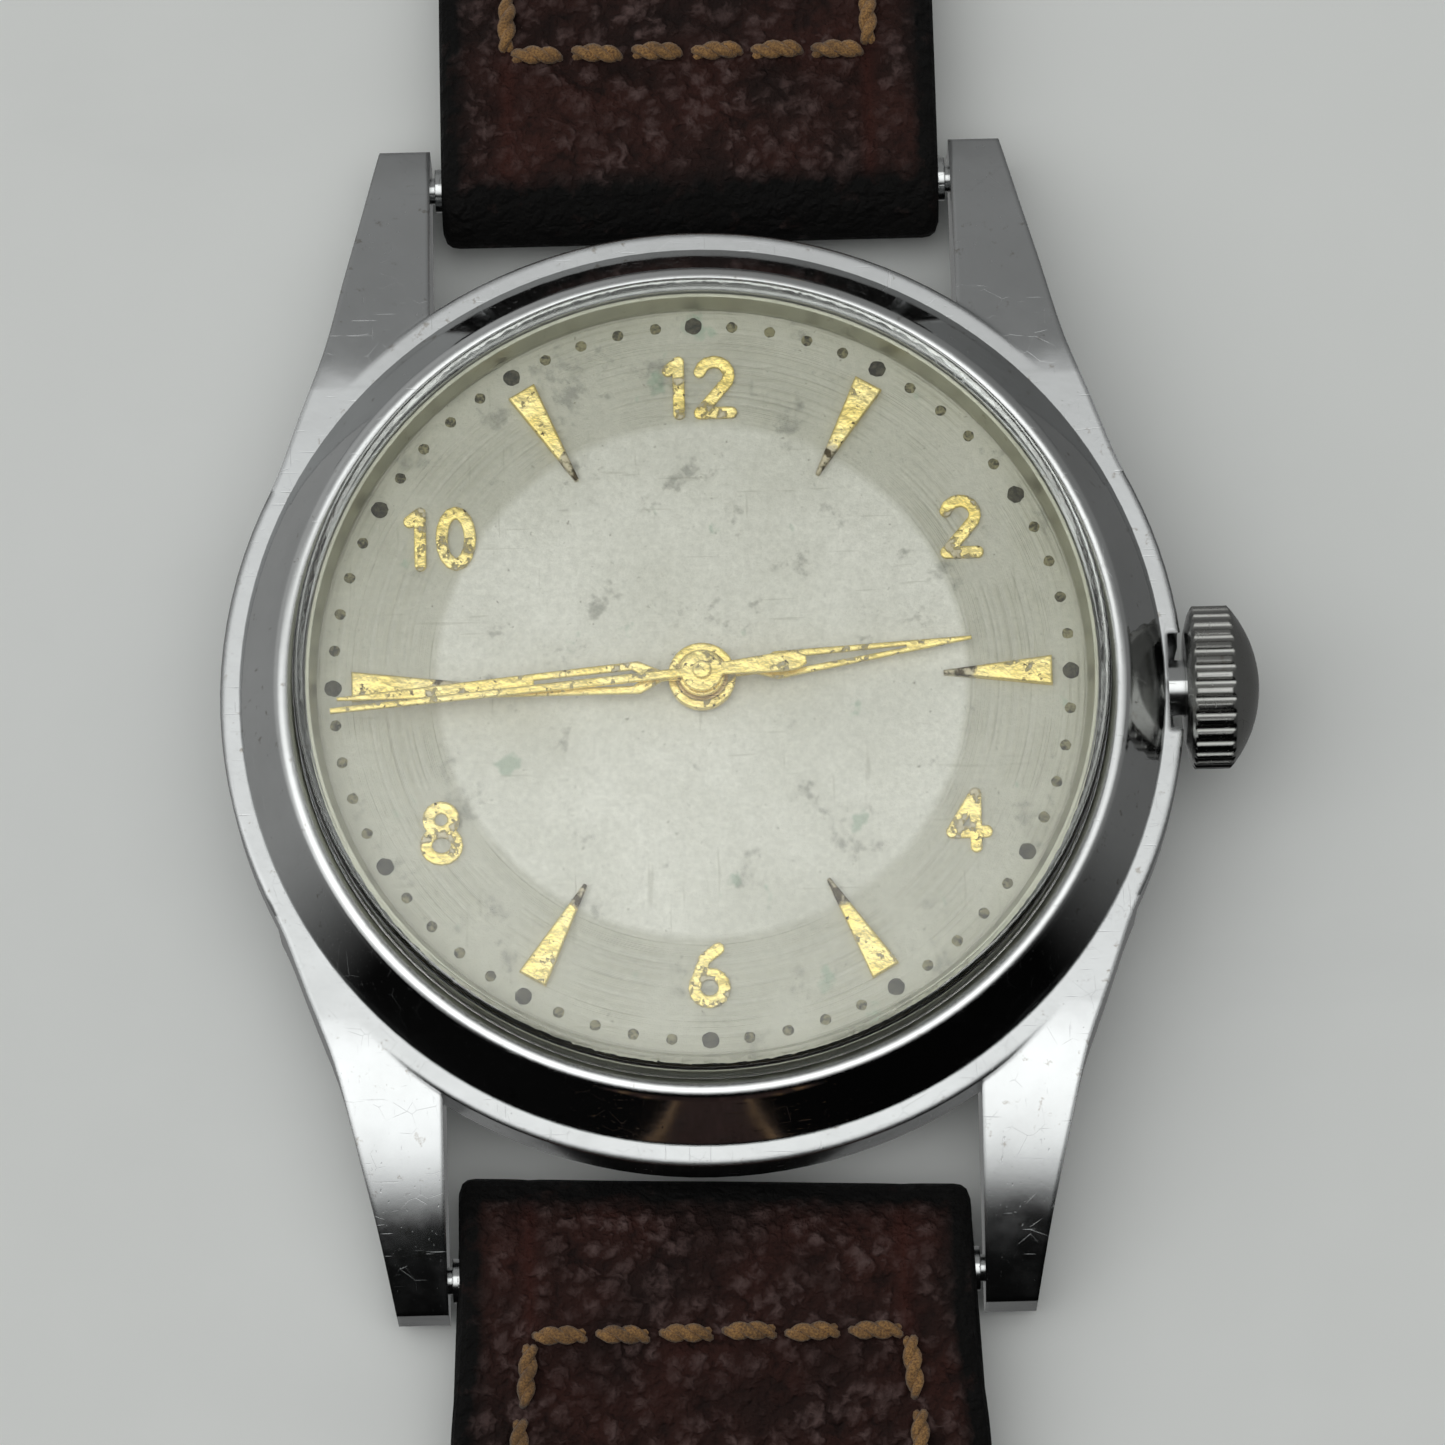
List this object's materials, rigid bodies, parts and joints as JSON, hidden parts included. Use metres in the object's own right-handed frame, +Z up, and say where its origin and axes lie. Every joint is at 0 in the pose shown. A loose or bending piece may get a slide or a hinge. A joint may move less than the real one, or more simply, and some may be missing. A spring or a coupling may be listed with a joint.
{
  "type": "wristwatch",
  "caption": "Round hand-wound wristwatch with domed crystal, skeleton hands, raised numerals and wedge markers, fluted crown and stitched leather strap with a tang buckle",
  "frame": {"origin": "centre of the flat face of the case back, on the surface the watch lies on", "axes": "+X to the crown at three o'clock, +Y to twelve o'clock along the strap, +Z up out of the dial"},
  "size_m": [0.0352, 0.2376, 0.0104],
  "materials": {
    "mid_case": "worn satin",
    "bezel": "polished, scratched",
    "crystal": "polished acrylic",
    "tension_ring": "satin",
    "case_back": "satin, scratched",
    "case_back_gasket": "matt",
    "crown_tube": "turned",
    "movement_ring": "turned",
    "dial": "aged silver",
    "hour_markers": "gilt, worn",
    "hour_numerals": "gilt, worn",
    "main_plate": "grained",
    "barrel_bridge": "grained",
    "train_bridge": "grained",
    "pallet_cock": "grained",
    "balance_cock": "grained",
    "bridge_screws": "polished",
    "jewels": "polished ruby",
    "crown_wheel_screw": "polished",
    "click_spring": "polished",
    "spring_bar_12": "turned",
    "spring_bar_6": "turned",
    "centre_wheel": "gilt",
    "cannon_pinion": "polished",
    "minute_hand": "gilt, worn",
    "hour_wheel": "gilt",
    "hour_hand": "gilt, worn",
    "seconds_wheel": "gilt",
    "second_hand": "gilt, worn",
    "third_wheel": "gilt",
    "escape_wheel": "polished",
    "barrel": "turned",
    "barrel_cover": "turned",
    "mainspring": "blued",
    "minute_wheel": "gilt",
    "setting_wheel": "polished",
    "pallet_fork": "polished",
    "balance_wheel": "gilt",
    "hairspring": "blued",
    "regulator": "polished",
    "winding_pinion": "polished",
    "crown": "fluted, worn",
    "stem": "turned",
    "sliding_pinion": "polished",
    "crown_wheel": "sunburst",
    "ratchet_wheel": "sunburst",
    "ratchet_screw": "polished",
    "barrel_arbor": "turned",
    "click": "polished",
    "setting_lever": "polished",
    "yoke": "polished",
    "strap_12": "pebbled, worn",
    "buckle_bar": "turned",
    "fixed_keeper": "worn",
    "free_keeper": "worn",
    "buckle_frame": "polished, scratched",
    "buckle_tongue": "polished, scratched",
    "strap_6": "pebbled, worn"
  },
  "bodies": {
    "case": {"mid_case": "mid_case", "bezel": "bezel", "crystal": "crystal", "tension_ring": "tension_ring", "case_back": "case_back", "case_back_gasket": "case_back_gasket", "crown_tube": "crown_tube", "movement_ring": "movement_ring", "dial": "dial", "hour_markers": "hour_markers", "hour_numerals": "hour_numerals", "main_plate": "main_plate", "barrel_bridge": "barrel_bridge", "train_bridge": "train_bridge", "pallet_cock": "pallet_cock", "balance_cock": "balance_cock", "bridge_screws": "bridge_screws", "jewels": "jewels", "crown_wheel_screw": "crown_wheel_screw", "click_spring": "click_spring", "spring_bar_12": "spring_bar_12", "spring_bar_6": "spring_bar_6"},
    "minute_train": {"centre_wheel": "centre_wheel", "cannon_pinion": "cannon_pinion", "minute_hand": "minute_hand"},
    "hour_train": {"hour_wheel": "hour_wheel", "hour_hand": "hour_hand"},
    "seconds_train": {"seconds_wheel": "seconds_wheel", "second_hand": "second_hand"},
    "third_wheel": {"third_wheel": "third_wheel"},
    "escape_wheel": {"escape_wheel": "escape_wheel"},
    "barrel": {"barrel": "barrel", "barrel_cover": "barrel_cover", "mainspring": "mainspring"},
    "minute_wheel": {"minute_wheel": "minute_wheel"},
    "setting_wheel": {"setting_wheel": "setting_wheel"},
    "pallet_fork": {"pallet_fork": "pallet_fork"},
    "balance": {"balance_wheel": "balance_wheel", "hairspring": "hairspring"},
    "regulator": {"regulator": "regulator"},
    "winding": {"winding_pinion": "winding_pinion"},
    "crown": {"crown": "crown", "stem": "stem"},
    "clutch": {"sliding_pinion": "sliding_pinion"},
    "crown_wheel": {"crown_wheel": "crown_wheel"},
    "ratchet": {"ratchet_wheel": "ratchet_wheel", "ratchet_screw": "ratchet_screw", "barrel_arbor": "barrel_arbor"},
    "click": {"click": "click"},
    "setting_lever": {"setting_lever": "setting_lever"},
    "yoke": {"yoke": "yoke"},
    "strap_upper": {"strap_12": "strap_12", "buckle_bar": "buckle_bar", "fixed_keeper": "fixed_keeper"},
    "free_keeper": {"free_keeper": "free_keeper"},
    "buckle": {"buckle_frame": "buckle_frame"},
    "tongue": {"buckle_tongue": "buckle_tongue"},
    "strap_lower": {"strap_6": "strap_6"}
  },
  "joints": [
    {"name": "minute_turn", "type": "hinge", "parent": "case", "child": "minute_train", "pos_m": [0, 0, 0.0042], "axis": [0, 0, -1], "continuous": true},
    {"name": "hour_turn", "type": "hinge", "parent": "case", "child": "hour_train", "pos_m": [0, 0, 0.0068], "axis": [0, 0, -1], "continuous": true},
    {"name": "seconds_turn", "type": "hinge", "parent": "case", "child": "seconds_train", "pos_m": [0, 0, 0.0035], "axis": [0, 0, -1], "continuous": true},
    {"name": "third_turn", "type": "hinge", "parent": "case", "child": "third_wheel", "pos_m": [-0.00432, 0, 0.0039], "axis": [0, 0, -1], "continuous": true},
    {"name": "escape_turn", "type": "hinge", "parent": "case", "child": "escape_wheel", "pos_m": [0.00247, -0.00353, 0.0049], "axis": [0, 0, -1], "continuous": true},
    {"name": "barrel_turn", "type": "hinge", "parent": "case", "child": "barrel", "pos_m": [0.00132, 0.00622, 0.005], "axis": [0, 0, -1], "continuous": true},
    {"name": "minute_wheel_turn", "type": "hinge", "parent": "case", "child": "minute_wheel", "pos_m": [0.0027, -0.00156, 0.0064], "axis": [0, 0, -1], "continuous": true},
    {"name": "setting_wheel_turn", "type": "hinge", "parent": "case", "child": "setting_wheel", "pos_m": [0.00611, -0.00241, 0.0064], "axis": [0, 0, -1], "continuous": true},
    {"name": "pallet_swing", "type": "hinge", "parent": "case", "child": "pallet_fork", "pos_m": [0.00031, -0.00523, 0.0049], "axis": [0, 0, 1], "range_deg": [-5, 5]},
    {"name": "balance_swing", "type": "hinge", "parent": "case", "child": "balance", "pos_m": [-0.0032, -0.008, 0.0045], "axis": [0, 0, 1], "range_deg": [-270, 270]},
    {"name": "regulator_turn", "type": "hinge", "parent": "case", "child": "regulator", "pos_m": [-0.0032, -0.008, 0.0028], "axis": [0, 0, 1], "range_deg": [-15, 15]},
    {"name": "crown_turn", "type": "hinge", "parent": "case", "child": "winding", "pos_m": [0.009, 0, 0.0049], "axis": [1, 0, 0], "continuous": true},
    {"name": "crown_pull", "type": "slide", "parent": "winding", "child": "crown", "axis": [1, 0, 0], "range_m": [0, 0.0009]},
    {"name": "clutch_slide", "type": "slide", "parent": "winding", "child": "clutch", "axis": [-1, 0, 0], "range_m": [0, 0.0008]},
    {"name": "crown_wheel_turn", "type": "hinge", "parent": "case", "child": "crown_wheel", "pos_m": [0.0068, 0, 0.0031], "axis": [0, 0, 1], "continuous": true},
    {"name": "ratchet_turn", "type": "hinge", "parent": "case", "child": "ratchet", "pos_m": [0.00132, 0.00622, 0.0031], "axis": [0, 0, -1], "continuous": true},
    {"name": "click_swing", "type": "hinge", "parent": "case", "child": "click", "pos_m": [-0.00458, 0.00813, 0.0031], "axis": [0, 0, 1], "range_deg": [-8, 8]},
    {"name": "setting_lever_swing", "type": "hinge", "parent": "case", "child": "setting_lever", "pos_m": [0.0104, -0.0034, 0.0053], "axis": [0, 0, -1], "range_deg": [0, 17.8]},
    {"name": "yoke_swing", "type": "hinge", "parent": "case", "child": "yoke", "pos_m": [0.007, -0.0036, 0.0053], "axis": [0, 0, 1], "range_deg": [0, 16.7]},
    {"name": "strap_upper_swing", "type": "hinge", "parent": "case", "child": "strap_upper", "pos_m": [0, 0.01924, 0.0021], "axis": [1, 0, 0], "range_deg": [-80, 60]},
    {"name": "strap_lower_swing", "type": "hinge", "parent": "case", "child": "strap_lower", "pos_m": [0, -0.01924, 0.0021], "axis": [-1, 0, 0], "range_deg": [-80, 60]},
    {"name": "free_keeper_slide", "type": "slide", "parent": "strap_upper", "child": "free_keeper", "axis": [0, -1, 0], "range_m": [-0.0045, 0.017]},
    {"name": "buckle_swing", "type": "hinge", "parent": "strap_upper", "child": "buckle", "pos_m": [0, 0.094, 0.0023], "axis": [1, 0, 0], "range_deg": [-60, 60]},
    {"name": "tongue_swing", "type": "hinge", "parent": "buckle", "child": "tongue", "pos_m": [0, 0.094, 0.0023], "axis": [1, 0, 0], "range_deg": [0, 55]}
  ],
  "couplings": [
    {"joint": "hour_turn", "follows": "minute_turn", "ratio": 0.083333},
    {"joint": "third_turn", "follows": "minute_turn", "ratio": -8},
    {"joint": "seconds_turn", "follows": "minute_turn", "ratio": 60},
    {"joint": "escape_turn", "follows": "minute_turn", "ratio": -600},
    {"joint": "barrel_turn", "follows": "minute_turn", "ratio": -0.13889},
    {"joint": "minute_wheel_turn", "follows": "minute_turn", "ratio": -0.33333},
    {"joint": "setting_wheel_turn", "follows": "minute_turn", "ratio": 0.66667},
    {"joint": "crown_wheel_turn", "follows": "crown_turn", "ratio": 0.5},
    {"joint": "ratchet_turn", "follows": "crown_turn", "ratio": 0.36957},
    {"joint": "clutch_slide", "follows": "crown_pull", "ratio": 0.88889},
    {"joint": "setting_lever_swing", "follows": "crown_pull", "rad_per_m": 344.22},
    {"joint": "yoke_swing", "follows": "crown_pull", "rad_per_m": 322.89}
  ]
}
